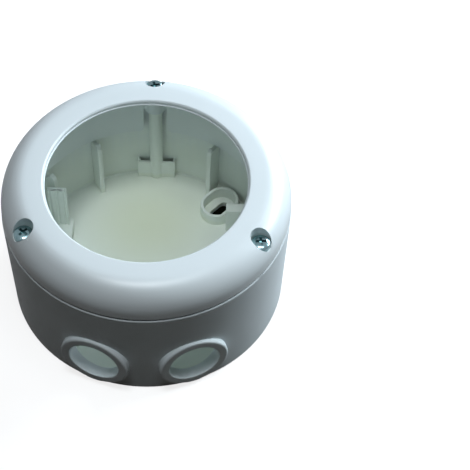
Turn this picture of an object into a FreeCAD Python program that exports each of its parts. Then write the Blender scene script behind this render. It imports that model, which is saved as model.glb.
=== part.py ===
import FreeCAD, Part
import math
import os
import Sketcher
from FreeCAD import Placement, Rotation, Vector

# Round surface mounting box: a moulded back box with two cable entries, a domed
# cover ring with a deep skirt, the seal between them and the three cover screws.
# Lengths are millimetres and angles are degrees. The origin is the centre of the
# underside, +Z points out of the wall and +Y points to the single screw at the back.

SIZES = [
    ("outerRadius", 57.6, "outside of the back box at its rim"),
    ("wallDraft", 0.6, "outside smaller by this at the underside, for the mould"),
    ("wallThickness", 3.4, "side wall of the back box"),
    ("floorThickness", 2.6, "floor of the back box"),
    ("baseChamfer", 0.6, "chamfer at the outer edge of the underside"),
    ("floorBevel", 0.8, "bevel between floor and side wall"),
    ("rimChamfer", 0.35, "chamfer at the outer edge of the rim"),
    ("tongueThickness", 1.0, "raised tongue on the rim"),
    ("tongueInset", 1.7, "tongue's outer face inside the outside wall"),
    ("tongueHeight", 2.6, "tongue above the rim"),
    ("jointGap", 0.4, "reveal between the rim and the cover ring"),
    ("grooveClearance", 0.3, "groove beside the tongue, each side"),
    ("sealHeight", 1.6, "seal between the tongue and the groove's end"),
    ("coverHeight", 64.3, "top of the cover ring above the underside"),
    ("coverRise", 14.3, "top of the cover ring above the rim"),
    ("coverInset", 0.3, "cover ring's outside inside the rim's, which leaves a fine ledge"),
    ("coverRound", 10.8, "large outer round of the cover ring"),
    ("coverPlate", 2.6, "top plate of the cover ring"),
    ("coverWidth", 17.6, "opening's edge inside the rim's outside"),
    ("openingChamfer", 0.6, "chamfer at the opening's upper edge"),
    ("beadDepth", 0.4, "bead inside the opening's lower edge"),
    ("beadHeight", 0.8, "height of that bead"),
    ("coverChamfer", 0.35, "chamfer at the cover ring's lower edge"),
    ("skirtClearance", 1.0, "skirt's outside inside the wall of the back box"),
    ("skirtThickness", 2.2, "wall of the skirt"),
    ("skirtDepth", 17.0, "lower edge of the skirt below the rim"),
    ("notchHalfWidth", 5.0, "half the skirt's notch round a screw column"),
    ("notchFlare", 2.6, "round at the notch's lower corners"),
    ("screwInset", 5.5, "circle of cover screws inside the rim's outside"),
    ("screwAngle", 90.0, "direction of the back screw"),
    ("columnWall", 1.15, "wall of a screw column round the screw"),
    ("columnDrop", 2.4, "seat of the cover ring on the columns below the rim"),
    ("pilotSpare", 2.6, "screw hole deeper than the screw's point"),
    ("pilotClearance", 0.05, "screw hole beside the screw's thread"),
    ("coverBossRadius", 4.7, "cover ring's boss that meets a column"),
    ("headClearance", 0.4, "recess beside a screw head"),
    ("headPocketWall", 1.6, "wall round that recess"),
    ("headSink", 6.1, "seat of the screw heads below the top of the cover ring"),
    ("headSeatThickness", 2.0, "plate under a screw head"),
    ("bossFlat", 0.5, "flat back of a cover boss behind the screw's axis"),
    ("shankRadius", 1.75, "screw thread outside radius"),
    ("shankClearance", 0.3, "hole in the cover ring beside the screw"),
    ("shankLength", 22.0, "screw below its head"),
    ("shankPoint", 2.4, "tapered end of a screw"),
    ("headRadius", 3.8, "screw head"),
    ("headHeight", 2.7, "screw head's crown above its seat"),
    ("headRim", 1.1, "straight side of a screw head"),
    ("headFlat", 2.7, "radius of the flat that the cross is sunk into"),
    ("crossWidth", 1.1, "slot of the cross recess"),
    ("crossSpan", 4.6, "cross recess from tip to tip"),
    ("crossDepth", 1.7, "depth of the cross recess"),
    ("entryAngle", 271.7, "direction halfway between the two cable entries"),
    ("entrySpreadAngle", 19.9, "each cable entry to either side of it"),
    ("entryRadius", 10.4, "cable entry hole for an M20 gland"),
    ("padLand", 3.8, "round pad beyond the edge of a cable entry"),
    ("padLift", 2.1, "lower edge of a pad above the underside"),
    ("padStandoff", 1.0, "pad's flat face outside the rim's outside"),
    ("padChamfer", 0.6, "chamfer at the pad's edge"),
    ("earHalfWidth", 8.2, "pocket walls beside a column, half the pair"),
    ("earReach", 1.9, "front of those walls inside the circle of screws"),
    ("earWall", 0.9, "thickness of those walls"),
    ("earTop", 12.8, "top of those walls above the underside"),
    ("ribThickness", 2.2, "radial rib"),
    ("ribStepInset", 1.6, "rib's high part ends this far inside the skirt"),
    ("ribRound", 2.4, "round at a rib's top inner corner"),
    ("ribFlat", 0.2, "flat top of a rib's high part"),
    ("ribLean", 0.6, "rib's inner end further in at the floor"),
    ("ribClearance", 0.2, "rib's high part below the skirt's lower edge"),
    ("ribStepDrop", 1.7, "rib's low part under the skirt's edge"),
    ("ribFirstAngle", 0.0, "first of the two ribs on the right"),
    ("ribSecondAngle", 120.0, "first of the three ribs on the left"),
    ("ribSpanAngle", 60.0, "angle from the first to the last rib of each group"),
    ("collarInset", 13.9, "middle of a fixing collar inside the rim's outside"),
    ("collarAngle", 48.6, "direction of the first fixing collar"),
    ("collarRadius", 7.2, "collar's rounded end"),
    ("collarWall", 1.4, "collar's wall"),
    ("collarTop", 8.6, "collar's top above the underside"),
    ("collarStretch", 1.8, "collar's end centre from its middle"),
    ("slotRadius", 2.2, "fixing slot's rounded end"),
    ("slotStretch", 2.8, "fixing slot's end centre from its middle"),
    ("barReach", 22.4, "left end of the bar beside the collar, inside the wall"),
    ("barFront", 21.4, "front of that bar"),
    ("barWidth", 4.6, "width of that bar"),
    ("barTop", 16.4, "top of that bar above the underside"),
    ("uprightInset", 21.9, "right side of the fluted upright inside the rim's outside"),
    ("uprightWidth", 8.1, "width of the upright"),
    ("uprightFront", 18.1, "front of the upright"),
    ("uprightThickness", 2.2, "thickness of the upright"),
    ("uprightDrop", 3.0, "top of the upright below the skirt's lower edge"),
    ("fluteRadius", 0.5, "vertical flute in the upright"),
    ("fluteSpacing", 3.1, "flute to flute"),
    ("footLip", 1.6, "foot beyond the upright's right side"),
    ("footWidth", 11.3, "width of the foot"),
    ("footAhead", 8.9, "foot in front of the upright's face"),
    ("footBehind", 4.3, "foot behind the upright's face"),
    ("footTop", 7.0, "top of the foot above the underside"),
    ("footRound", 2.6, "upright corners of the foot"),
    ("weld", 0.6, "overlap where one form runs into another"),
]


class Size:
    """A length or angle with the sheet formula that it comes from."""

    def __init__(self, value, formula):
        self.value = float(value)
        self.formula = formula

    def __add__(self, other):
        other = as_size(other)
        return Size(self.value + other.value, f"({self.formula} + {other.formula})")

    def __radd__(self, other):
        return as_size(other) + self

    def __sub__(self, other):
        other = as_size(other)
        return Size(self.value - other.value, f"({self.formula} - {other.formula})")

    def __rsub__(self, other):
        return as_size(other) - self

    def __mul__(self, other):
        other = as_size(other)
        return Size(self.value * other.value, f"({self.formula} * {other.formula})")

    def __truediv__(self, other):
        other = as_size(other)
        return Size(self.value / other.value, f"({self.formula} / {other.formula})")

    def __neg__(self):
        return Size(-self.value, f"(0 - {self.formula})")


def as_size(value):
    return value if isinstance(value, Size) else Size(value, repr(float(value)))


def far_side(radius, offset):
    """Distance from the axis at which a circle is crossed, off its middle."""
    value = math.sqrt(radius.value ** 2 - offset.value ** 2)
    return Size(value, f"sqrt({radius.formula} ^ 2 - {offset.formula} ^ 2)")


def make_sheet(doc):
    sheet = doc.addObject("Spreadsheet::Sheet", "Sizes")
    sizes = {}
    for row, (name, value, note) in enumerate(SIZES, start=1):
        sheet.set(f"A{row}", name)
        sheet.set(f"B{row}", str(value))
        sheet.set(f"C{row}", note)
        sheet.setAlias(f"B{row}", name)
        sizes[name] = Size(value, f"Sizes.{name}")
    doc.recompute()
    return sizes


doc = FreeCAD.newDocument("SurfaceMountingBox")
size = make_sheet(doc)


def bind(feature, prop, value):
    """Set a property from a size, so that it follows the sheet."""
    feature.setExpression(prop, as_size(value).formula)


def origin_part(body, role):
    for item in body.Origin.OriginFeatures:
        if item.Role == role:
            return item
    raise ValueError(role)


def new_body(label):
    body = doc.addObject("PartDesign::Body", label)
    body.Label = label
    return body


def upright_sketch(body, name, angle=0.0, out=0.0):
    """Sketch on a vertical plane: x runs along the angle, y is height."""
    sketch = body.newObject("Sketcher::SketchObject", name)
    sketch.AttachmentSupport = (origin_part(body, "XZ_Plane"), "")
    sketch.MapMode = "FlatFace"
    angle = as_size(angle)
    sketch.AttachmentOffset = Placement(Vector(0, 0, 0), Rotation(Vector(0, 1, 0), angle.value))
    bind(sketch, "AttachmentOffset.Rotation.Angle", angle)
    # the sketch faces the axis from outside, so a step out is a step behind it
    out = as_size(out)
    bind(sketch, "AttachmentOffset.Base.x", -out * Size(0.0, f"sin({angle.formula})"))
    bind(sketch, "AttachmentOffset.Base.z", -out * Size(0.0, f"cos({angle.formula})"))
    return sketch


def level_sketch(body, name, height=0.0, angle=0.0):
    """Sketch on a level plane: x runs along the angle, y a quarter turn on."""
    sketch = body.newObject("Sketcher::SketchObject", name)
    sketch.AttachmentSupport = (origin_part(body, "XY_Plane"), "")
    sketch.MapMode = "FlatFace"
    angle = as_size(angle)
    sketch.AttachmentOffset = Placement(Vector(0, 0, 0), Rotation(Vector(0, 0, 1), angle.value))
    bind(sketch, "AttachmentOffset.Rotation.Angle", angle)
    bind(sketch, "AttachmentOffset.Base.z", height)
    return sketch


def pin(sketch, geometry, position, kind, value):
    """Dimension a sketch point along one axis from the sketch origin."""
    value = as_size(value)
    if abs(value.value) < 1e-9:
        axis = -2 if kind == "DistanceX" else -1
        sketch.addConstraint(Sketcher.Constraint("PointOnObject", geometry, position, axis))
        return
    index = sketch.addConstraint(
        Sketcher.Constraint(kind, -1, 1, geometry, position, value.value)
    )
    bind(sketch, f"Constraints[{index}]", value)


def set_out(sketch, geometry, position, x, y):
    pin(sketch, geometry, position, "DistanceX", x)
    pin(sketch, geometry, position, "DistanceY", y)


def outline(sketch, points):
    """Closed outline through points. A point with a centre starts a round to the next."""
    edges = []
    count = len(points)
    for index, point in enumerate(points):
        here = [as_size(value).value for value in point[:2]]
        there = [as_size(value).value for value in points[(index + 1) % count][:2]]
        start, end = Vector(here[0], here[1], 0), Vector(there[0], there[1], 0)
        if len(point) == 2:
            edges.append(("line", sketch.addGeometry(Part.LineSegment(start, end), False)))
            continue
        middle = Vector(as_size(point[2]).value, as_size(point[3]).value, 0)
        radius = (start - middle).Length
        first = math.atan2(start.y - middle.y, start.x - middle.x)
        last = math.atan2(end.y - middle.y, end.x - middle.x)
        anticlockwise = point[4]
        circle = Part.Circle(middle, Vector(0, 0, 1), radius)
        if not anticlockwise:
            first, last = last, first
        arc = Part.ArcOfCircle(circle, first, last)
        edges.append(("ccw" if anticlockwise else "cw", sketch.addGeometry(arc, False)))
    ends = {"line": (1, 2), "ccw": (1, 2), "cw": (2, 1)}
    for index, (kind, geometry) in enumerate(edges):
        next_kind, next_geometry = edges[(index + 1) % count]
        end, start = ends[kind][1], ends[next_kind][0]
        sketch.addConstraint(
            Sketcher.Constraint("Coincident", geometry, end, next_geometry, start)
        )
        set_out(sketch, next_geometry, start, *points[(index + 1) % count][:2])
    for (kind, geometry), point in zip(edges, points):
        if kind != "line":
            pin(sketch, geometry, 3, "DistanceX", point[2])


def disc(sketch, x, y, radius):
    geometry = sketch.addGeometry(
        Part.Circle(Vector(as_size(x).value, as_size(y).value, 0), Vector(0, 0, 1), radius.value),
        False,
    )
    set_out(sketch, geometry, 3, x, y)
    index = sketch.addConstraint(Sketcher.Constraint("Radius", geometry, radius.value))
    bind(sketch, f"Constraints[{index}]", radius)


def rectangle(sketch, left, bottom, right, top):
    outline(sketch, [(left, bottom), (right, bottom), (right, top), (left, top)])


def obround(sketch, middle, stretch, radius):
    """Slot shape along x with its middle on the x axis."""
    low, high = middle - stretch, middle + stretch
    outline(
        sketch,
        [
            (low, -radius),
            (high, -radius, high, 0.0, True),
            (high, radius),
            (low, radius, low, 0.0, True),
        ],
    )


def revolve(body, name, sketch, cut=False):
    kind = "PartDesign::Groove" if cut else "PartDesign::Revolution"
    feature = body.newObject(kind, name)
    feature.Profile = sketch
    feature.ReferenceAxis = (sketch, ["V_Axis"])
    feature.Angle = 360.0
    body.Tip = feature
    return feature


def extrude(body, name, sketch, length, cut=False, middle=False, reverse=False):
    kind = "PartDesign::Pocket" if cut else "PartDesign::Pad"
    feature = body.newObject(kind, name)
    feature.Profile = sketch
    feature.Type = "Length"
    if middle:
        feature.SideType = "Symmetric"
    feature.Reversed = reverse
    bind(feature, "Length", length)
    body.Tip = feature
    return feature


def repeat_round(body, name, originals, angle, count):
    pattern = body.newObject("PartDesign::PolarPattern", name)
    pattern.Originals = originals
    pattern.Axis = (origin_part(body, "Z_Axis"), [""])
    bind(pattern, "Angle", angle)
    pattern.Occurrences = count
    body.Tip = pattern
    return pattern


def chamfer_edges(body, name, width, chosen):
    """Chamfer the edges of the body so far that the test picks."""
    doc.recompute()
    base = body.Tip
    names = [f"Edge{i}" for i, edge in enumerate(base.Shape.Edges, start=1) if chosen(edge)]
    if not names:
        raise ValueError(f"{name}: no edge found")
    chamfer = body.newObject("PartDesign::Chamfer", name)
    chamfer.Base = (base, names)
    bind(chamfer, "Size", width)
    body.Tip = chamfer


# Places that several pieces share, worked out from the sheet.
OUTER = size["outerRadius"]
BASE = OUTER - size["wallDraft"]
COVER = OUTER - size["coverInset"]
WALL_INNER = OUTER - size["wallThickness"]
BASE_INNER = BASE - size["wallThickness"]
FLOOR = size["floorThickness"]
TOP = size["coverHeight"]
RIM = TOP - size["coverRise"]
TONGUE_OUTER = OUTER - size["tongueInset"]
TONGUE_INNER = TONGUE_OUTER - size["tongueThickness"]
TONGUE_TOP = RIM + size["tongueHeight"]
COVER_BOTTOM = RIM + size["jointGap"]
GROOVE_END = TONGUE_TOP + size["sealHeight"]
SKIRT_OUTER = WALL_INNER - size["skirtClearance"]
SKIRT_INNER = SKIRT_OUTER - size["skirtThickness"]
SKIRT_BOTTOM = RIM - size["skirtDepth"]
SCREW_CIRCLE = OUTER - size["screwInset"]
COLUMN_TOP = RIM - size["columnDrop"]
HEAD_SEAT = TOP - size["headSink"]
HEAD_POCKET = size["headRadius"] + size["headClearance"]
PAD_RADIUS = size["entryRadius"] + size["padLand"]
PAD_FACE = OUTER + size["padStandoff"]
ENTRY_HEIGHT = PAD_RADIUS + size["padLift"]
SCREWS = ("back", "left", "right")
ENTRIES = (
    ("Left", size["entryAngle"] - size["entrySpreadAngle"]),
    ("Right", size["entryAngle"] + size["entrySpreadAngle"]),
)


def tub(body):
    """Floor, side wall and the rim with its tongue, turned about the axis."""
    edge, bevel, chamfer = size["baseChamfer"], size["floorBevel"], size["rimChamfer"]
    sketch = upright_sketch(body, "TubProfile")
    outline(
        sketch,
        [
            (0.0, 0.0),
            (BASE - edge, 0.0),
            (BASE, edge),
            (OUTER, RIM - chamfer),
            (OUTER - chamfer, RIM),
            (TONGUE_OUTER, RIM),
            (TONGUE_OUTER, TONGUE_TOP),
            (TONGUE_INNER, TONGUE_TOP),
            (TONGUE_INNER, RIM),
            (WALL_INNER, RIM),
            (BASE_INNER, FLOOR + bevel),
            (BASE_INNER - bevel, FLOOR),
            (0.0, FLOOR),
        ],
    )
    revolve(body, "Tub", sketch)


def entry_pads(body):
    """Flat round pads on the outside wall, where the cable glands seat."""
    face, radius = PAD_FACE, PAD_RADIUS
    root = far_side(BASE, radius) - size["weld"]
    for side, angle in ENTRIES:
        sketch = upright_sketch(body, f"EntryPad{side}Outline", angle - 90.0, face)
        disc(sketch, 0.0, ENTRY_HEIGHT, radius)
        extrude(body, f"EntryPad{side}", sketch, face - root)

    def pad_rim(edge):
        curve = edge.Curve
        middle = edge.CenterOfMass
        return (
            isinstance(curve, Part.Circle)
            and abs(curve.Radius - radius.value) < 0.01
            and abs(math.hypot(middle.x, middle.y) - face.value) < 0.01
        )

    chamfer_edges(body, "EntryPadChamfer", size["padChamfer"], pad_rim)


def entry_holes(body):
    """Cable entries, straight through the pad and the wall behind it."""
    face, radius = PAD_FACE, size["entryRadius"]
    inside = far_side(BASE_INNER, radius) - size["weld"]
    for side, angle in ENTRIES:
        sketch = upright_sketch(body, f"Entry{side}Outline", angle - 90.0, face)
        disc(sketch, 0.0, ENTRY_HEIGHT, radius)
        extrude(body, f"Entry{side}", sketch, face - inside, cut=True, reverse=True)


def column_ears(body):
    """Low walls round each column's foot, which close a small pocket to either side."""
    front = SCREW_CIRCLE - size["earReach"]
    wall, half = size["earWall"], size["earHalfWidth"]
    back = far_side(WALL_INNER, half) + size["weld"]
    height = size["earTop"] - FLOOR
    block = level_sketch(body, "EarOutline", FLOOR - size["weld"], size["screwAngle"])
    rectangle(block, front, -half, back, half)
    block_pad = extrude(body, "Ears", block, height + size["weld"])
    pocket = level_sketch(body, "EarPocketOutline", size["earTop"], size["screwAngle"])
    rectangle(pocket, front + wall, wall - half, back - wall, half - wall)
    pocket_cut = extrude(body, "EarPockets", pocket, height, cut=True)
    repeat_round(body, "EarPattern", [block_pad, pocket_cut], 360.0, len(SCREWS))


def screw_columns(body):
    """Three columns that carry the cover ring and take its screws."""
    foot = FLOOR - size["weld"]
    shank, grip = size["shankRadius"], size["shankLength"] - (HEAD_SEAT - COLUMN_TOP)
    outer = level_sketch(body, "ColumnOutline", foot, size["screwAngle"])
    disc(outer, SCREW_CIRCLE, 0.0, shank + size["columnWall"])
    column = extrude(body, "Column", outer, COLUMN_TOP - foot)
    hole = level_sketch(body, "PilotOutline", COLUMN_TOP, size["screwAngle"])
    disc(hole, SCREW_CIRCLE, 0.0, shank + size["pilotClearance"])
    pilot = extrude(body, "Pilot", hole, grip + size["pilotSpare"], cut=True)
    repeat_round(body, "ColumnPattern", [column, pilot], 360.0, len(SCREWS))


def wall_ribs(body):
    """Radial ribs, stepped at the top to clear the skirt's lower edge."""
    corner, top = size["ribRound"], SKIRT_BOTTOM - size["ribClearance"]
    low = SKIRT_BOTTOM - size["ribStepDrop"]
    step = SKIRT_INNER - size["ribStepInset"]
    lean = step - size["ribFlat"] - corner
    inner = lean - size["ribLean"]
    foot = FLOOR - size["weld"]
    back = WALL_INNER + size["weld"]
    groups = (("Right", size["ribFirstAngle"], 2), ("Left", size["ribSecondAngle"], 3))
    for group, angle, count in groups:
        sketch = upright_sketch(body, f"Rib{group}Profile", angle)
        outline(
            sketch,
            [
                (inner, foot),
                (back, foot),
                (back, low),
                (step, low),
                (step, top),
                (lean + corner, top, lean + corner, top - corner, True),
                (lean, top - corner),
            ],
        )
        rib = extrude(body, f"Rib{group}", sketch, size["ribThickness"], middle=True)
        repeat_round(body, f"Rib{group}Pattern", [rib], size["ribSpanAngle"], count)


def side_bar(body):
    """Short bar from the wall towards the fixing collar."""
    front = size["barFront"]
    back = front + size["barWidth"]
    foot = FLOOR - size["weld"]
    sketch = level_sketch(body, "BarOutline", foot)
    left, right = WALL_INNER - size["barReach"], far_side(WALL_INNER, back) + size["weld"]
    rectangle(sketch, left, front, right, back)
    extrude(body, "Bar", sketch, size["barTop"] - foot)


def upright_and_foot(body):
    """Fluted upright that stands at the back of a rounded foot."""
    foot = FLOOR - size["weld"]
    side, face = size["uprightInset"] - OUTER, size["uprightFront"]
    front, back = face - size["footAhead"], face + size["footBehind"]
    right, corner = side + size["footLip"], size["footRound"]
    left = right - size["footWidth"]
    sketch = level_sketch(body, "FootOutline", foot)
    outline(
        sketch,
        [
            (left + corner, front),
            (right - corner, front, right - corner, front + corner, True),
            (right, front + corner),
            (right, back - corner, right - corner, back - corner, True),
            (right - corner, back),
            (left + corner, back, left + corner, back - corner, True),
            (left, back - corner),
            (left, front + corner, left + corner, front + corner, True),
        ],
    )
    extrude(body, "Foot", sketch, size["footTop"] - foot)
    plate = level_sketch(body, "UprightOutline", foot)
    top = SKIRT_BOTTOM - size["uprightDrop"]
    rectangle(plate, side - size["uprightWidth"], face, side, face + size["uprightThickness"])
    extrude(body, "Upright", plate, top - foot)
    middle = side - size["uprightWidth"] / 2.0
    flutes = level_sketch(body, "FluteOutline", top)
    for place in (-1, 0, 1):
        disc(flutes, middle + size["fluteSpacing"] * place, face, size["fluteRadius"])
    extrude(body, "Flutes", flutes, top - size["footTop"], cut=True)


def fixing_collars(body):
    """Oval collars round the two slots for the wall screws."""
    top, foot = size["collarTop"], FLOOR - size["weld"]
    angle, middle = size["collarAngle"], OUTER - size["collarInset"]
    outer = level_sketch(body, "CollarOutline", foot, angle)
    obround(outer, middle, size["collarStretch"], size["collarRadius"])
    collar = extrude(body, "Collar", outer, top - foot)
    inner = level_sketch(body, "CollarHollowOutline", top, angle)
    obround(inner, middle, size["collarStretch"], size["collarRadius"] - size["collarWall"])
    hollow = extrude(body, "CollarHollow", inner, top - FLOOR, cut=True)
    slot = level_sketch(body, "SlotOutline", FLOOR, angle)
    obround(slot, middle, size["slotStretch"], size["slotRadius"])
    through = extrude(body, "Slot", slot, FLOOR + size["weld"], cut=True)
    repeat_round(body, "CollarPattern", [collar, hollow, through], 360.0, 2)


def make_back_box():
    body = new_body("back_box")
    tub(body)
    entry_pads(body)
    entry_holes(body)
    column_ears(body)
    screw_columns(body)
    wall_ribs(body)
    side_bar(body)
    upright_and_foot(body)
    fixing_collars(body)
    return body


def cover_blank(body):
    """Domed ring with its skirt, still without the groove for the tongue."""
    dome, edge, chamfer = size["coverRound"], size["openingChamfer"], size["coverChamfer"]
    opening = OUTER - size["coverWidth"]
    bead = opening - size["beadDepth"]
    under = TOP - size["coverPlate"]
    sketch = upright_sketch(body, "CoverProfile")
    outline(
        sketch,
        [
            (bead, under),
            (SKIRT_INNER, under),
            (SKIRT_INNER, SKIRT_BOTTOM),
            (SKIRT_OUTER, SKIRT_BOTTOM),
            (SKIRT_OUTER, COVER_BOTTOM),
            (COVER - chamfer, COVER_BOTTOM),
            (COVER, COVER_BOTTOM + chamfer),
            (COVER, TOP - dome, COVER - dome, TOP - dome, True),
            (COVER - dome, TOP),
            (opening + edge, TOP),
            (opening, TOP - edge),
            (opening, under + size["beadHeight"]),
            (bead, under + size["beadHeight"]),
        ],
    )
    revolve(body, "Cover", sketch)


def half_boss(sketch, radius):
    """Boss outline round a screw, flat on the side of the wall."""
    centre = SCREW_CIRCLE
    back = centre + size["bossFlat"]
    outline(
        sketch,
        [
            (back, -radius),
            (back, radius),
            (centre, radius, centre, 0.0, True),
            (centre, -radius),
        ],
    )


def cover_bosses(body):
    """Bosses inside the cover that carry the screw heads and meet the columns."""
    ceiling = TOP - size["coverPlate"] + size["weld"]
    thin = level_sketch(body, "CoverBossOutline", COLUMN_TOP, size["screwAngle"])
    half_boss(thin, size["coverBossRadius"])
    thin_pad = extrude(body, "CoverBoss", thin, ceiling - COLUMN_TOP)
    neck = HEAD_SEAT - size["headSeatThickness"]
    wide = level_sketch(body, "HeadBossOutline", neck, size["screwAngle"])
    half_boss(wide, HEAD_POCKET + size["headPocketWall"])
    wide_pad = extrude(body, "HeadBoss", wide, ceiling - neck)
    repeat_round(body, "CoverBossPattern", [thin_pad, wide_pad], 360.0, len(SCREWS))


def cover_groove(body):
    """Groove for the rim's tongue, and the skirt's outside below the joint."""
    clear = size["grooveClearance"]
    beyond = OUTER + size["weld"]
    below = SKIRT_BOTTOM - size["weld"]
    sketch = upright_sketch(body, "GrooveProfile")
    outline(
        sketch,
        [
            (SKIRT_OUTER, below),
            (beyond, below),
            (beyond, COVER_BOTTOM),
            (TONGUE_OUTER + clear, COVER_BOTTOM),
            (TONGUE_OUTER + clear, GROOVE_END),
            (TONGUE_INNER - clear, GROOVE_END),
            (TONGUE_INNER - clear, COVER_BOTTOM),
            (SKIRT_OUTER, COVER_BOTTOM),
        ],
    )
    revolve(body, "TongueGroove", sketch, cut=True)


def cover_screw_holes(body):
    """Recess for each screw head and the clearance hole below it."""
    head = level_sketch(body, "HeadRecessOutline", TOP, size["screwAngle"])
    disc(head, SCREW_CIRCLE, 0.0, HEAD_POCKET)
    recess = extrude(body, "HeadRecess", head, TOP - HEAD_SEAT, cut=True)
    hole = level_sketch(body, "ScrewHoleOutline", HEAD_SEAT, size["screwAngle"])
    disc(hole, SCREW_CIRCLE, 0.0, size["shankRadius"] + size["shankClearance"])
    depth = HEAD_SEAT - COLUMN_TOP + size["weld"]
    clearance = extrude(body, "ScrewHole", hole, depth, cut=True)
    repeat_round(body, "ScrewHolePattern", [recess, clearance], 360.0, len(SCREWS))


def skirt_notches(body):
    """Openings in the skirt that let the columns stand inside its line."""
    half, flare = size["notchHalfWidth"], size["notchFlare"]
    low, high = SKIRT_BOTTOM, COLUMN_TOP
    below, start = low - size["weld"], SKIRT_OUTER + size["weld"]
    sketch = upright_sketch(body, "NotchOutline", size["screwAngle"] - 90.0, start)
    outline(
        sketch,
        [
            (-half - flare, below),
            (half + flare, below),
            (half + flare, low, half + flare, low + flare, False),
            (half, low + flare),
            (half, high),
            (-half, high),
            (-half, low + flare, -half - flare, low + flare, False),
            (-half - flare, low),
        ],
    )
    inside = far_side(SKIRT_INNER, half + flare) - size["weld"]
    notch = extrude(body, "Notch", sketch, start - inside, cut=True, reverse=True)
    repeat_round(body, "NotchPattern", [notch], 360.0, len(SCREWS))


def make_cover_ring():
    body = new_body("cover_ring")
    cover_blank(body)
    cover_bosses(body)
    cover_groove(body)
    cover_screw_holes(body)
    skirt_notches(body)
    return body


def make_rim_seal():
    """Flat sealing ring between the tongue and the end of the groove."""
    body = new_body("rim_seal")
    sketch = upright_sketch(body, "SealProfile")
    rectangle(sketch, TONGUE_INNER, TONGUE_TOP, TONGUE_OUTER, GROOVE_END)
    revolve(body, "Seal", sketch)
    return body


def screw_solid(body):
    """Bevelled pan head and pointed shank, turned about the screw's own axis."""
    head, shank, length = size["headRadius"], size["shankRadius"], size["shankLength"]
    sketch = upright_sketch(body, f"{body.Label}Profile")
    outline(
        sketch,
        [
            (0.0, -length),
            (shank, size["shankPoint"] - length),
            (shank, 0.0),
            (head, 0.0),
            (head, size["headRim"]),
            (size["headFlat"], size["headHeight"]),
            (0.0, size["headHeight"]),
        ],
    )
    revolve(body, f"{body.Label}Turned", sketch)


def cross_recess(body):
    """Cross recess sunk into the crown of the head."""
    arm, reach = size["crossWidth"] / 2.0, size["crossSpan"] / 2.0
    sketch = level_sketch(body, f"{body.Label}Cross", size["headHeight"])
    outline(
        sketch,
        [
            (-arm, -reach),
            (arm, -reach),
            (arm, -arm),
            (reach, -arm),
            (reach, arm),
            (arm, arm),
            (arm, reach),
            (-arm, reach),
            (-arm, arm),
            (-reach, arm),
            (-reach, -arm),
            (-arm, -arm),
        ],
    )
    extrude(body, f"{body.Label}Recess", sketch, size["crossDepth"], cut=True)


def make_screw(place):
    """Screw at its place on the circle, counted from the back."""
    body = new_body(f"cover_screw_{SCREWS[place]}")
    screw_solid(body)
    cross_recess(body)
    angle = size["screwAngle"] + 360.0 / len(SCREWS) * place
    body.setExpression("Placement.Base.x", f"{SCREW_CIRCLE.formula} * cos({angle.formula})")
    body.setExpression("Placement.Base.y", f"{SCREW_CIRCLE.formula} * sin({angle.formula})")
    bind(body, "Placement.Base.z", HEAD_SEAT)
    return body


bodies = [make_back_box(), make_cover_ring(), make_rim_seal()]
bodies += [make_screw(place) for place in range(len(SCREWS))]
doc.recompute()

for item in doc.Objects:
    if "Invalid" in item.State or "Error" in item.State:
        raise RuntimeError(f"{item.Label}: {item.State}")
for body in bodies:
    if body.Shape.isNull() or not body.Shape.isValid():
        raise RuntimeError(f"{body.Label}: shape is not valid")
    if len(body.Shape.Solids) != 1:
        raise RuntimeError(f"{body.Label}: {len(body.Shape.Solids)} solids")

os.makedirs("parts", exist_ok=True)
for body in bodies:
    body.Shape.exportStep(f"parts/{body.Label}.step")
    box = body.Shape.BoundBox
    print(
        f"{body.Label}: {body.Shape.Volume / 1000:.2f} cm3, "
        f"z {box.ZMin:.2f} to {box.ZMax:.2f}"
    )
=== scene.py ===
import math
import bpy
import bmesh
import numpy as np
from mathutils import Matrix, Vector


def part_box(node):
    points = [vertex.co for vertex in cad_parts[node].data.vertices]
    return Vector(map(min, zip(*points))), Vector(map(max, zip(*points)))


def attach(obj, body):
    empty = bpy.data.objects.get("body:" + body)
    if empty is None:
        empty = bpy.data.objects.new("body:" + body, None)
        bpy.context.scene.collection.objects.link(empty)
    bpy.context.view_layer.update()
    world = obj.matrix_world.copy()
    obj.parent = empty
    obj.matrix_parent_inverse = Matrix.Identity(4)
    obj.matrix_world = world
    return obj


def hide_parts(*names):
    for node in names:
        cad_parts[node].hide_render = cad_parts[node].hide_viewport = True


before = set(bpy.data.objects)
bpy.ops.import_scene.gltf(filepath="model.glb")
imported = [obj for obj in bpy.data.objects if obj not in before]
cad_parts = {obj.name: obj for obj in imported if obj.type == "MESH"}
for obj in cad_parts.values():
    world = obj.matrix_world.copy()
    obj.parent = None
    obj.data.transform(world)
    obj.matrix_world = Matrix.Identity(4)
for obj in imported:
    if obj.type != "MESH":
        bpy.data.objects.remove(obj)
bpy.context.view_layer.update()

scene = bpy.context.scene
scene.view_settings.view_transform = "Standard"
mm = 0.001                   # sizes below are in millimetres unless a note says otherwise

# Camera: looks down on the box from the cable entries' side
cameraValues = {
    "elevation": 52.745,     # degrees above the floor, as the angles below are in degrees
    "roll": -1.872,
    "turn": 5.237,           # the box is turned this far in the picture
    "pan": 3.906,
    "tilt": -1.032,
    "distance": 0.514268,    # metres to the aim point
    "aimHeight": 0.040,      # metres
    "focalPixels": 1267.317,
    "framePixels": 470,      # the frame's side, in the same pixels as the focal length
    "sensor": 36.0,
    "near": 0.01,            # metres
    "far": 20.0,             # metres
}


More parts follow.
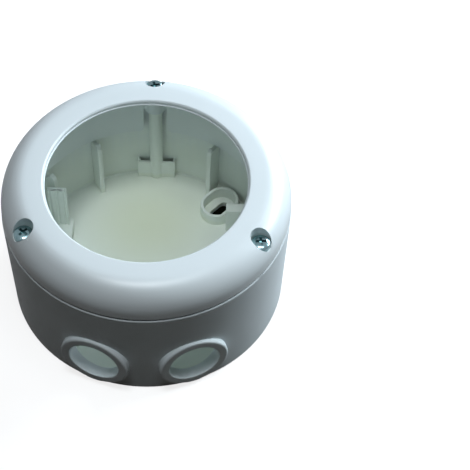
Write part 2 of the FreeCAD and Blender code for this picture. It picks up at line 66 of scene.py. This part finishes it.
# The view starts as one that looks down at a point above the middle of the floor from straight in
# front, is swung a little off that point, and goes round the box by the turn
def makeCamera(values):
    elevation = math.radians(values["elevation"])
    pan = math.radians(values["pan"])
    tilt = math.radians(values["tilt"])
    roll = math.radians(values["roll"])
    back = values["distance"] * math.cos(elevation)
    rise = values["distance"] * math.sin(elevation)
    place = Vector((0.0, -back, rise + values["aimHeight"]))
    forward = Vector((0.0, math.cos(elevation), -math.sin(elevation)))
    right = Vector((1.0, 0.0, 0.0))
    up = Vector((0.0, math.sin(elevation), math.cos(elevation)))
    # pan about the camera's up, tilt about its right, then roll about the view axis
    forward, right = (math.cos(pan) * forward + math.sin(pan) * right,
                      math.cos(pan) * right - math.sin(pan) * forward)
    forward, up = (math.cos(tilt) * forward + math.sin(tilt) * up,
                   math.cos(tilt) * up - math.sin(tilt) * forward)
    right, up = (math.cos(roll) * right + math.sin(roll) * up,
                 math.cos(roll) * up - math.sin(roll) * right)
    spin = Matrix.Rotation(math.radians(values["turn"]), 3, "Z")
    facing = Matrix((spin @ right, spin @ up, -(spin @ forward))).transposed().to_4x4()
    data = bpy.data.cameras.new("viewCamera")
    data.sensor_width = values["sensor"]
    data.lens = values["focalPixels"] / values["framePixels"] * values["sensor"]
    data.clip_start = values["near"]
    data.clip_end = values["far"]
    camera = bpy.data.objects.new("viewCamera", data)
    camera.matrix_world = Matrix.Translation(spin @ place) @ facing
    scene.collection.objects.link(camera)
    scene.camera = camera


makeCamera(cameraValues)
print("camera placed")


# sRGB hex to linear red, green, blue and alpha
def linear(hexColour):
    parts = [int(hexColour[i:i + 2], 16) / 255 for i in (1, 3, 5)]
    return [c / 12.92 if c <= 0.04045 else ((c + 0.055) / 1.055) ** 2.4 for c in parts] + [1.0]


# Places of a Mix node's colour sockets, which share their names with its other sockets
firstColour = 6
secondColour = 7
mixedColour = 2


# One node: settings are its own properties, inputs are values or sockets to link, by name or place
def addNode(tree, kind, settings=None, inputs=None):
    node = tree.nodes.new(kind)
    for name, value in (settings or {}).items():
        setattr(node, name, value)
    for name, value in (inputs or {}).items():
        if isinstance(value, bpy.types.NodeSocket):
            tree.links.new(value, node.inputs[name])
        else:
            node.inputs[name].default_value = value
    return node


def newMaterial(name):
    material = bpy.data.materials.new(name)
    material.use_nodes = True
    material.node_tree.nodes.clear()
    return material, material.node_tree


# ABS moulded in a spark-eroded mould: a fine even grain breaks up the gloss, the pigment clouds
# slightly over a few centimetres, and handling has left the gloss a little uneven. Each layer's
# colours, a light and a shade, lie over those before it where all its zones are. A zone is an upright
# cylinder round a centre: its radius, bottom and top, each with half the width of its soft edge.
plasticValues = {
    "mouldedAbsBox": {
        "roughness": (0.42, 0.52), "specular": 0.25, "lift": 0.012,
        "zones": {
            "inside": {"centre": (0.0, 0.0, 0.0), "radius": (53.9, 0.2),
                       "bottom": (1.3, 0.3), "top": (49.0, 0.3)},
            "middle": {"centre": (-2.0, 24.0, 0.0), "radius": (22.0, 20.0),
                       "bottom": (1.3, 0.3), "top": (5.0, 1.0)},
        },
        "layers": [
            {"colours": ("#E6EDEE", "#E0E7E8"), "zones": ()},
            {"colours": ("#F3F9F1", "#EDF4EB"), "zones": ("inside",)},              # painted bounced light: the inside tinted warmer, as light bounced round the box colours it
            {"colours": ("#EBF1D8", "#EBF1D8"), "zones": ("inside", "middle")},     # painted bounced light: the middle of the floor tinted yellow-green
        ],
    },
    "mouldedAbsCover": {
        "roughness": (0.30, 0.36), "specular": 0.5, "lift": 0.008,
        "zones": {
            # a band on the cover just above the joint, painted dark as the shade in its gap
            "paintedJointShade": {"centre": (0.0, 0.0, 0.0), "radius": (80.0, 0.2),
                      "bottom": (50.2, 0.1), "top": (50.85, 0.12)},
            "inside": {"centre": (0.0, 0.0, 0.0), "radius": (53.0, 0.2),
                       "bottom": (30.0, 0.3), "top": (61.9, 0.3)},
        },
        "layers": [
            {"colours": ("#E4EAEB", "#DFE6E7"), "zones": ()},
            {"colours": ("#2E302C", "#2E302C"), "zones": ("paintedJointShade",)},               # painted shade: the shadowed gap at the joint, as a dark band just above it
            # painted bounced light: the cover's skirt inside the box tinted greener
            {"colours": ("#E6EDED", "#E0E8E7"), "zones": ("inside",)},
        ],
    },
}
plasticNoise = {
    "cloud": 25.0, "cloudDetail": 3.0, "cloudRoughness": 0.55,
    "grain": 0.35,           # a real one is finer: this is as coarse as it needs to be to show
    "grainDetail": 2.0, "grainStrength": 0.35,
    "smudge": 9.0, "smudgeDetail": 4.0,
    "roughness": 0.6,        # of the grain's and the smudge's noise
    "low": 0.3, "high": 0.7, # the noise's range, which is spread over the gloss's
    "ior": 1.53,
}
levelOnly = (1.0, 1.0, 0.0)  # what a place is multiplied by to leave its height out


# One inside an upright cylinder, nought outside it: a soft step in the distance from its axis
# times a soft step in height at its bottom and another at its top
def zoneMask(tree, place, zone):
    centre = [part * mm for part in zone["centre"]]
    offset = addNode(tree, "ShaderNodeVectorMath", {"operation": "SUBTRACT"}, {0: place, 1: centre})
    level = addNode(tree, "ShaderNodeVectorMath", {"operation": "MULTIPLY"},
                    {0: offset.outputs["Vector"], 1: levelOnly})
    away = addNode(tree, "ShaderNodeVectorMath", {"operation": "LENGTH"}, {0: level.outputs["Vector"]})
    height = addNode(tree, "ShaderNodeSeparateXYZ", None, {0: place})
    mask = 1.0
    for value, bound, below, above in ((away.outputs["Value"], "radius", 1.0, 0.0),
                                       (height.outputs["Z"], "bottom", 0.0, 1.0),
                                       (height.outputs["Z"], "top", 1.0, 0.0)):
        edge, soft = zone[bound]
        step = addNode(tree, "ShaderNodeMapRange", {"interpolation_type": "SMOOTHSTEP"},
                       {"Value": value, "From Min": (edge - soft) * mm, "From Max": (edge + soft) * mm,
                        "To Min": below, "To Max": above})
        mask = addNode(tree, "ShaderNodeMath", {"operation": "MULTIPLY"},
                       {0: mask, 1: step.outputs["Result"]}).outputs["Value"]
    return mask


def makePlastic(name, values, noise):
    material, tree = newMaterial(name)
    place = addNode(tree, "ShaderNodeTexCoord").outputs["Object"]
    masks = {key: zoneMask(tree, place, zone) for key, zone in values["zones"].items()}
    cloud = addNode(tree, "ShaderNodeTexNoise", None,
                    {"Vector": place, "Scale": 1 / (noise["cloud"] * mm), "Detail": noise["cloudDetail"],
                     "Roughness": noise["cloudRoughness"]})
    tint = None
    for layer in values["layers"]:
        light, shade = layer["colours"]
        paint = addNode(tree, "ShaderNodeMix", {"data_type": "RGBA"},
                        {"Factor": cloud.outputs["Fac"], firstColour: linear(light),
                         secondColour: linear(shade)})
        cover = 1.0
        for key in layer["zones"]:
            both = addNode(tree, "ShaderNodeMath", {"operation": "MULTIPLY"}, {0: cover, 1: masks[key]})
            cover = both.outputs["Value"]
        if tint:
            paint = addNode(tree, "ShaderNodeMix", {"data_type": "RGBA"},
                            {"Factor": cover, firstColour: tint, secondColour: paint.outputs[mixedColour]})
        tint = paint.outputs[mixedColour]
    grain = addNode(tree, "ShaderNodeTexNoise", None,
                    {"Vector": place, "Scale": 1 / (noise["grain"] * mm), "Detail": noise["grainDetail"],
                     "Roughness": noise["roughness"]})
    smudge = addNode(tree, "ShaderNodeTexNoise", None,
                     {"Vector": place, "Scale": 1 / (noise["smudge"] * mm), "Detail": noise["smudgeDetail"],
                      "Roughness": noise["roughness"]})
    smooth, dull = values["roughness"]
    rough = addNode(tree, "ShaderNodeMapRange", None,
                    {"Value": smudge.outputs["Fac"], "From Min": noise["low"], "From Max": noise["high"],
                     "To Min": smooth, "To Max": dull})
    bump = addNode(tree, "ShaderNodeBump", None,
                   {"Strength": noise["grainStrength"], "Distance": values["lift"] * mm,
                    "Height": grain.outputs["Fac"]})
    shader = addNode(tree, "ShaderNodeBsdfPrincipled", None,
                     {"Base Color": tint, "Roughness": rough.outputs["Result"],
                      "Normal": bump.outputs["Normal"], "IOR": noise["ior"],
                      "Specular IOR Level": values["specular"]})
    addNode(tree, "ShaderNodeOutputMaterial", None, {"Surface": shader.outputs["BSDF"]})
    return material


# Nitrile rubber, moulded: matt and nearly black, with a fine skin
sealValues = {
    "colour": "#26272A", "roughness": 0.75, "ior": 1.52,
    "skin": 0.6, "skinDetail": 3.0, "skinStrength": 0.3, "lift": 0.02,
}


def makeSealRubber(values):
    material, tree = newMaterial("mouldedNitrileRubber")
    place = addNode(tree, "ShaderNodeTexCoord").outputs["Object"]
    skin = addNode(tree, "ShaderNodeTexNoise", None,
                   {"Vector": place, "Scale": 1 / (values["skin"] * mm), "Detail": values["skinDetail"]})
    bump = addNode(tree, "ShaderNodeBump", None,
                   {"Strength": values["skinStrength"], "Distance": values["lift"] * mm,
                    "Height": skin.outputs["Fac"]})
    shader = addNode(tree, "ShaderNodeBsdfPrincipled", None,
                     {"Base Color": linear(values["colour"]), "Roughness": values["roughness"],
                      "Normal": bump.outputs["Normal"], "IOR": values["ior"]})
    addNode(tree, "ShaderNodeOutputMaterial", None, {"Surface": shader.outputs["BSDF"]})
    return material


# Bright zinc plate on a cold-headed steel screw: mirror-like, with a blue-green tint from its clear
# passivation and a faint uneven dullness
zincValues = {
    "light": "#B4CCCE", "shade": "#6F9496", "roughness": (0.14, 0.28),
    "patch": 1.5, "patchDetail": 4.0, "low": 0.3, "high": 0.7,
}


def makeZinc(values):
    material, tree = newMaterial("brightZincPlatedSteel")
    place = addNode(tree, "ShaderNodeTexCoord").outputs["Object"]
    patch = addNode(tree, "ShaderNodeTexNoise", None,
                    {"Vector": place, "Scale": 1 / (values["patch"] * mm), "Detail": values["patchDetail"]})
    tint = addNode(tree, "ShaderNodeMix", {"data_type": "RGBA"},
                   {"Factor": patch.outputs["Fac"], firstColour: linear(values["light"]),
                    secondColour: linear(values["shade"])})
    smooth, dull = values["roughness"]
    rough = addNode(tree, "ShaderNodeMapRange", None,
                    {"Value": patch.outputs["Fac"], "From Min": values["low"], "From Max": values["high"],
                     "To Min": smooth, "To Max": dull})
    shader = addNode(tree, "ShaderNodeBsdfPrincipled", None,
                     {"Base Color": tint.outputs[mixedColour], "Roughness": rough.outputs["Result"],
                      "Metallic": 1.0})
    addNode(tree, "ShaderNodeOutputMaterial", None, {"Surface": shader.outputs["BSDF"]})
    return material


materials = {name: makePlastic(name, values, plasticNoise) for name, values in plasticValues.items()}
materials["mouldedNitrileRubber"] = makeSealRubber(sealValues)
materials["brightZincPlatedSteel"] = makeZinc(zincValues)
print("materials made")


# Moulded pieces: copies of the CAD solids with their facets merged and their edges eased as a
# mould leaves them
mouldedValues = {
    "back_box": {"name": "backBox", "slot": "box_plastic", "material": "mouldedAbsBox", "ease": 0.4},
    "cover_ring": {"name": "coverRing", "slot": "cover_plastic", "material": "mouldedAbsCover",
                   "ease": 0.35},
    "rim_seal": {"name": "rimSeal", "slot": "seal_rubber", "material": "mouldedNitrileRubber",
                 "ease": 0.12},
}
mouldedEdges = {
    "merge": 0.002,          # the solids' facets are joined where their corners are this near
    "flatAngle": 0.5,        # degrees between two facets that become one
    "squareAngle": 30.0,     # degrees that such a face's corners may be off square
    "sharpAngle": 32.0,      # degrees from which an edge is a corner
    "steps": 2,              # faces across an eased edge
    "screwZone": 9.0,        # round the screws the edges stay crisp, as cut by steel pins
    "slotZone": 3.2,         # up to this height the floor's edges stay crisp
}


# Outer corners are eased, apart from those round the screws and in the floor
def easedEdge(edge, edges, screws):
    if len(edge.link_faces) != 2 or not edge.is_convex:
        return False
    if edge.calc_face_angle() < math.radians(edges["sharpAngle"]):
        return False
    middle = (edge.verts[0].co + edge.verts[1].co) / 2
    nearest = min((middle.xy - screw).length for screw in screws)
    return nearest > edges["screwZone"] * mm and middle.z > edges["slotZone"] * mm


# Where the screws' axes meet the floor
def screwPlaces():
    corners = [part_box(f"cover_screw_{place}") for place in ("back", "left", "right")]
    return [Vector(((low[0] + high[0]) / 2, (low[1] + high[1]) / 2)) for low, high in corners]


def makeMoulded(node, values, edges):
    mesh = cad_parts[node].data.copy()
    mesh.name = values["name"]
    if "custom_normal" in mesh.attributes:
        mesh.attributes.remove(mesh.attributes["custom_normal"])
    work = bmesh.new()
    work.from_mesh(mesh)
    bmesh.ops.remove_doubles(work, verts=work.verts, dist=edges["merge"] * mm)
    bmesh.ops.join_triangles(work, faces=work.faces,
                             angle_face_threshold=math.radians(edges["flatAngle"]),
                             angle_shape_threshold=math.radians(edges["squareAngle"]))
    weight = work.edges.layers.float.new("bevel_weight_edge")
    screws = screwPlaces()
    for edge in work.edges:
        edge[weight] = 1.0 if easedEdge(edge, edges, screws) else 0.0
    work.to_mesh(mesh)
    work.free()
    mesh.materials.clear()
    mesh.materials.append(materials[values["material"]])
    mesh.shade_smooth()
    mesh.set_sharp_from_angle(angle=math.radians(edges["sharpAngle"]))
    piece = bpy.data.objects.new(values["name"], mesh)
    scene.collection.objects.link(piece)
    ease = piece.modifiers.new("easedEdges", "BEVEL")
    ease.width = values["ease"] * mm
    ease.segments = edges["steps"]
    ease.limit_method = "WEIGHT"
    ease.use_clamp_overlap = False
    ease.harden_normals = True
    ease.miter_outer = "MITER_ARC"
    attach(piece, "root")
    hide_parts(node)


for node, values in mouldedValues.items():
    makeMoulded(node, values, mouldedEdges)
print("moulded pieces made")


# Cover screws: pan head with a rounded crown, tapered cross recess and rolled thread
screwValues = {
    "headRadius": 3.8, "rim": 1.1, "crown": 1.6, "crownPower": 2.5, "crownStart": 0.02, "crownRows": 14,
    "seat": ((3.8, 0.12), (3.72, 0.0), (1.9, 0.0), (1.72, -0.15)),    # radius and height under the head
    "shankRadius": 1.75, "threadRoot": 1.32, "threadTop": -0.4, "pitch": 1.45,
    "crest": 1.6, "flank": 2.4,                        # how broad the crest is, how steep its flanks
    "length": 22.0, "tip": 0.02, "point": 3.0, "pointPower": 0.8,
    "crossWidth": 1.15, "crossSpan": 4.5, "crossDepth": 2.0, "crossRise": 0.5,
    "widthLean": 0.1575, "spanLean": 0.81,             # how far the recess's walls lean in at its foot
    "around": 64, "rowsPerPitch": 12, "smoothAngle": 35.0,
    "twists": {"back": 20.0, "left": 50.0, "right": 5.0},    # degrees that each recess is turned
}


# Mesh from a grid of closed rings (rows, around, 3), each end closed at a pole on the axis
def gridMesh(name, points):
    rows, around, _ = points.shape
    verts = np.concatenate([points.reshape(-1, 3), points[0].mean(0)[None], points[-1].mean(0)[None]])
    row, col = np.meshgrid(np.arange(rows - 1), np.arange(around), indexing="ij")
    after = (col + 1) % around
    quads = np.stack([row * around + col, row * around + after,
                      (row + 1) * around + after, (row + 1) * around + col], -1).reshape(-1, 4)
    turn = np.arange(around)
    pole = np.full(around, rows * around)
    foot = (rows - 1) * around
    first = np.stack([pole, (turn + 1) % around, turn], -1)
    last = np.stack([pole + 1, foot + turn, foot + (turn + 1) % around], -1)
    mesh = bpy.data.meshes.new(name)
    mesh.from_pydata(verts.tolist(), [], quads.tolist() + first.tolist() + last.tolist())
    return mesh


# Rings down the screw. The crown is a quarter superellipse: radius * sin(s) ** (2 / power) and
# rim + crown * cos(s) ** (2 / power). The shank's radius is root + rise * wave, where the wave is a
# clipped triangle of (height / pitch + angle / full turn), and it narrows with a power of the
# height above the tip over the length of the point.
def screwRings(values):
    swing = np.linspace(values["crownStart"], 1.0, values["crownRows"]) * math.pi / 2
    power = 2 / values["crownPower"]
    crownRadius = values["headRadius"] * np.sin(swing) ** power
    crownHeight = values["rim"] + values["crown"] * np.clip(np.cos(swing), 0, 1) ** power
    seat = np.array(values["seat"])
    head = np.stack([np.append(crownRadius, seat[:, 0]), np.append(crownHeight, seat[:, 1])])
    count = int(values["length"] / values["pitch"] * values["rowsPerPitch"])
    depth = np.linspace(values["threadTop"], values["tip"] - values["length"], count)
    angle = np.arange(values["around"]) / values["around"] * 2 * math.pi
    phase = (depth[:, None] / values["pitch"] + angle[None, :] / (2 * math.pi)) % 1.0
    wave = np.clip(values["crest"] - np.abs(phase * 2 - 1) * values["flank"], 0.0, 1.0)
    thread = values["threadRoot"] + (values["shankRadius"] - values["threadRoot"]) * wave
    taper = np.clip((depth + values["length"]) / values["point"], 0.0, 1.0) ** values["pointPower"]
    radius = np.concatenate([np.repeat(head[0][:, None], values["around"], 1), thread * taper[:, None]])
    height = np.repeat(np.append(head[1], depth)[:, None], values["around"], 1)
    return np.stack([radius * np.cos(angle), radius * np.sin(angle), height], -1) * mm


# Cross-shaped plug between two outlines, each of an arm's half width and half its span, where the
# lower outline is less by the two leans
def crossPlug(values):
    top = values["rim"] + values["crown"]
    rings = []
    for lean, height in ((0.0, top + values["crossRise"]), (1.0, top - values["crossDepth"])):
        arm = values["crossWidth"] / 2 - lean * values["widthLean"]
        reach = values["crossSpan"] / 2 - lean * values["spanLean"]
        corners = [(arm, reach), (-arm, reach), (-arm, arm), (-reach, arm), (-reach, -arm), (-arm, -arm),
                   (-arm, -reach), (arm, -reach), (arm, -arm), (reach, -arm), (reach, arm), (arm, arm)]
        rings.append([(x * mm, y * mm, height * mm) for x, y in corners])
    count = len(rings[0])
    sides = [(i, i + count, (i + 1) % count + count, (i + 1) % count) for i in range(count)]
    faces = [tuple(range(count)), tuple(range(2 * count - 1, count - 1, -1))] + sides
    mesh = bpy.data.meshes.new("crossPlug")
    mesh.from_pydata(rings[0] + rings[1], [], faces)
    return mesh


# Faces of a closed mesh made to point outwards
def turnOutward(mesh):
    work = bmesh.new()
    work.from_mesh(mesh)
    bmesh.ops.recalc_face_normals(work, faces=work.faces)
    work.to_mesh(mesh)
    work.free()


# The rings' blank with the plug cut out of its crown
def makeScrewMesh(values):
    tools = []
    for mesh in (gridMesh("screwBlank", screwRings(values)), crossPlug(values)):
        turnOutward(mesh)
        tool = bpy.data.objects.new(mesh.name, mesh)
        scene.collection.objects.link(tool)
        tools.append(tool)
    blank, plug = tools
    cut = blank.modifiers.new("crossRecess", "BOOLEAN")
    cut.operation = "DIFFERENCE"
    cut.object = plug
    cut.solver = "EXACT"
    bpy.context.view_layer.update()
    mesh = bpy.data.meshes.new_from_object(blank.evaluated_get(bpy.context.evaluated_depsgraph_get()))
    for tool in tools:
        bpy.data.objects.remove(tool)
    mesh.shade_smooth()
    mesh.set_sharp_from_angle(angle=math.radians(values["smoothAngle"]))
    return mesh


def makeScrews(values):
    pattern = makeScrewMesh(values)
    headHeight = (values["rim"] + values["crown"]) * mm
    for side, twist in values["twists"].items():
        low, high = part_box(f"cover_screw_{side}")
        seat = Vector(((low[0] + high[0]) / 2, (low[1] + high[1]) / 2, high[2] - headHeight))
        mesh = pattern.copy()
        mesh.transform(Matrix.Translation(seat) @ Matrix.Rotation(math.radians(twist), 4, "Z"))
        mesh.materials.clear()
        mesh.materials.append(materials["brightZincPlatedSteel"])
        piece = bpy.data.objects.new("coverScrew" + side.capitalize(), mesh)
        scene.collection.objects.link(piece)
        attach(piece, "root")
        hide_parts(f"cover_screw_{side}")


makeScrews(screwValues)
print("screws made")


# Floor: plain white paper. The camera and the gloss see it pale, with the box's shadow on it, and
# the box gets less light back from it. Under the box it is painted as dark, unlit shade.
floorValues = {
    "radius": 3.0,           # metres
    "corners": 64, "drop": 0.05,
    "paper": "#B0B0B0", "glow": 0.8, "mirroredGlow": 0.22, "bounce": "#2F271B",
    "patch": "#15160F",      # painted shade under the box, seen only through its slots
    "paintedShadeRadius": 0.055,    # metres, the radius of the painted shade
}


# A flat disc: radius * cos, radius * sin of the angle, just under the box
def makeFloor(values):
    angle = np.arange(values["corners"]) / values["corners"] * 2 * math.pi
    height = np.full(values["corners"], -values["drop"] * mm)
    verts = np.stack([np.cos(angle) * values["radius"], np.sin(angle) * values["radius"], height], -1)
    mesh = bpy.data.meshes.new("floor")
    mesh.from_pydata(verts.tolist(), [], [list(range(values["corners"]))])
    material, tree = newMaterial("whitePaper")
    path = addNode(tree, "ShaderNodeLightPath").outputs
    seen = 0.0
    for ray in ("Is Camera Ray", "Is Glossy Ray", "Is Transmission Ray"):
        either = addNode(tree, "ShaderNodeMath", {"operation": "MAXIMUM"}, {0: seen, 1: path[ray]})
        seen = either.outputs["Value"]
    place = addNode(tree, "ShaderNodeTexCoord").outputs["Object"]
    away = addNode(tree, "ShaderNodeVectorMath", {"operation": "LENGTH"}, {0: place})
    # Painted shade: inside the patch under the box the paper is dark and does not glow
    clear = addNode(tree, "ShaderNodeMath", {"operation": "GREATER_THAN"},
                    {0: away.outputs["Value"], 1: values["paintedShadeRadius"]}).outputs["Value"]
    paper = addNode(tree, "ShaderNodeMix", {"data_type": "RGBA"},
                    {"Factor": clear, firstColour: linear(values["patch"]),
                     secondColour: linear(values["paper"])})
    level = addNode(tree, "ShaderNodeMapRange", None,
                    {"Value": path["Is Glossy Ray"], "To Min": values["glow"],
                     "To Max": values["mirroredGlow"]})
    strength = addNode(tree, "ShaderNodeMath", {"operation": "MULTIPLY"},
                       {0: clear, 1: level.outputs["Result"]})
    bounce = addNode(tree, "ShaderNodeBsdfDiffuse", None, {"Color": linear(values["bounce"])})
    matt = addNode(tree, "ShaderNodeBsdfDiffuse", None, {"Color": paper.outputs[mixedColour]})
    glow = addNode(tree, "ShaderNodeEmission", None, {"Strength": strength.outputs["Value"]})
    pale = addNode(tree, "ShaderNodeAddShader", None, {0: matt.outputs[0], 1: glow.outputs[0]})
    surface = addNode(tree, "ShaderNodeMixShader", None,
                      {0: seen, 1: bounce.outputs[0], 2: pale.outputs[0]})
    addNode(tree, "ShaderNodeOutputMaterial", None, {"Surface": surface.outputs[0]})
    mesh.materials.append(material)
    floor = bpy.data.objects.new("floor", mesh)
    scene.collection.objects.link(floor)


# Lamps: soft discs that face a point in the box. Azimuth is in degrees from +X anticlockwise, as the
# box's own directions are, and height in degrees above the floor. Sizes here are in metres.
lampValues = {
    "sideLamp": {"azimuth": 48, "height": 24, "size": 0.6, "power": 7.8, "colour": "#E5F2FF"},
    "windowLamp": {"azimuth": 22, "height": 30, "size": 0.3, "power": 4.0, "colour": "#E8F7FF"},
    "topLamp": {"azimuth": 330, "height": 79, "size": 0.35, "power": 1.4, "colour": "#ECF8FF"},
    "glossLamp": {"azimuth": 245, "height": 81, "size": 0.2, "power": 2.2, "colour": "#F4FAFF"},
}
lampReach = {"distance": 0.9, "aimHeight": 0.03}     # how far the lamps are from that point, and its height


def makeLamps(lamps, reach):
    aim = Vector((0.0, 0.0, reach["aimHeight"]))
    for name, values in lamps.items():
        data = bpy.data.lights.new(name, "AREA")
        data.shape = "DISK"
        data.size = values["size"]
        data.energy = values["power"]
        data.color = linear(values["colour"])[:3]
        azimuth = math.radians(values["azimuth"])
        height = math.radians(values["height"])
        level = math.cos(height)
        way = Vector((math.cos(azimuth) * level, math.sin(azimuth) * level, math.sin(height)))
        lamp = bpy.data.objects.new(name, data)
        lamp.location = aim + way * reach["distance"]
        lamp.rotation_euler = way.to_track_quat("Z", "Y").to_euler()
        scene.collection.objects.link(lamp)


# World: a pale room for the camera and the gloss, which gives almost no light
worldValues = {"colour": "#F0F5FF", "light": 0.002, "mirrored": 0.5, "seen": 1.0}


def makeWorld(values):
    sky = bpy.data.worlds.new("studioWorld")
    sky.use_nodes = True
    tree = sky.node_tree
    tree.nodes.clear()
    path = addNode(tree, "ShaderNodeLightPath").outputs
    strength = values["light"]
    for ray, level in (("Is Glossy Ray", "mirrored"), ("Is Transmission Ray", "seen"),
                       ("Is Camera Ray", "seen")):
        chosen = addNode(tree, "ShaderNodeMapRange", None,
                         {"Value": path[ray], "To Min": strength, "To Max": values[level]})
        strength = chosen.outputs["Result"]
    room = addNode(tree, "ShaderNodeBackground", None,
                   {"Color": linear(values["colour"]), "Strength": strength})
    addNode(tree, "ShaderNodeOutputWorld", None, {"Surface": room.outputs[0]})
    scene.world = sky


makeFloor(floorValues)
makeLamps(lampValues, lampReach)
makeWorld(worldValues)
print("floor, lamps and world placed")
